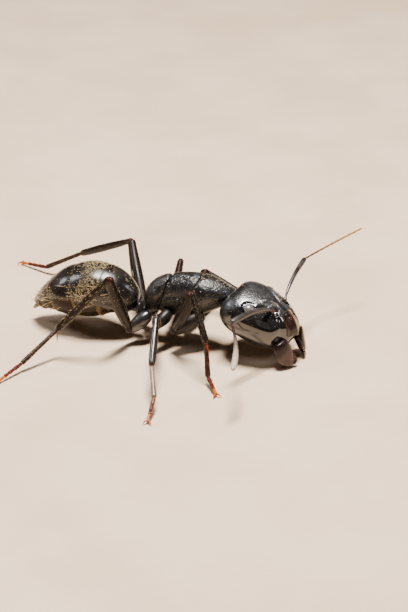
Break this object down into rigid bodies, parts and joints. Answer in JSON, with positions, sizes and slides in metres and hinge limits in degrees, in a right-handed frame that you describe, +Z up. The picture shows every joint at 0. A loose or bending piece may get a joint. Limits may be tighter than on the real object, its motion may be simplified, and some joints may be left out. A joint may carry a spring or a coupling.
{
  "type": "black carpenter ant",
  "caption": "Black carpenter ant, a large worker standing on all its feet with its head dipped, one feeler reaching forward and the other folded back over the face.",
  "frame": {"origin": "on the floor under the middle of the ant's box", "axes": "+X towards the head, +Y towards the ant's left side, +Z up"},
  "size_m": [0.0156, 0.0132, 0.0037],
  "materials": {
    "shell_black": "satin black shell with a fine leather-like grain",
    "gaster_brown": "satin brown-black plates with amber edges and pale golden hairs",
    "leg_brown": "dark brown shell, lighter and redder towards its ends",
    "foot_red": "brown to orange-red shell",
    "jaw_red": "glossy dark red-brown shell, darker at the teeth",
    "eye_grey": "grey-brown eye of many small facets, glossy"
  },
  "bodies": {
    "root": {"head": "shell_black", "clypeus": "shell_black", "neck": "shell_black", "pronotum": "shell_black", "mesonotum": "shell_black", "propodeum": "shell_black", "petiole": "shell_black", "eye_left": "eye_grey", "eye_right": "eye_grey", "mandible_left": "jaw_red", "mandible_right": "jaw_red", "scape_left": "leg_brown", "scape_right": "leg_brown", "funiculus_left": "leg_brown", "funiculus_right": "leg_brown", "gaster_1": "gaster_brown", "gaster_2": "gaster_brown", "gaster_3": "gaster_brown", "gaster_4": "gaster_brown", "gaster_tip": "gaster_brown", "coxa_hind_right": "shell_black", "femur_hind_right": "leg_brown", "tibia_hind_right": "leg_brown", "tarsus_hind_right": "foot_red", "coxa_hind_left": "shell_black", "femur_hind_left": "leg_brown", "tibia_hind_left": "leg_brown", "tarsus_hind_left": "foot_red", "coxa_mid_right": "shell_black", "femur_mid_right": "leg_brown", "tibia_mid_right": "leg_brown", "tarsus_mid_right": "foot_red", "coxa_mid_left": "shell_black", "femur_mid_left": "leg_brown", "tibia_mid_left": "leg_brown", "tarsus_mid_left": "foot_red", "coxa_fore_right": "shell_black", "femur_fore_right": "leg_brown", "tibia_fore_right": "leg_brown", "tarsus_fore_right": "foot_red", "coxa_fore_left": "shell_black", "femur_fore_left": "leg_brown", "tibia_fore_left": "leg_brown", "tarsus_fore_left": "foot_red"}
  },
  "joints": []
}
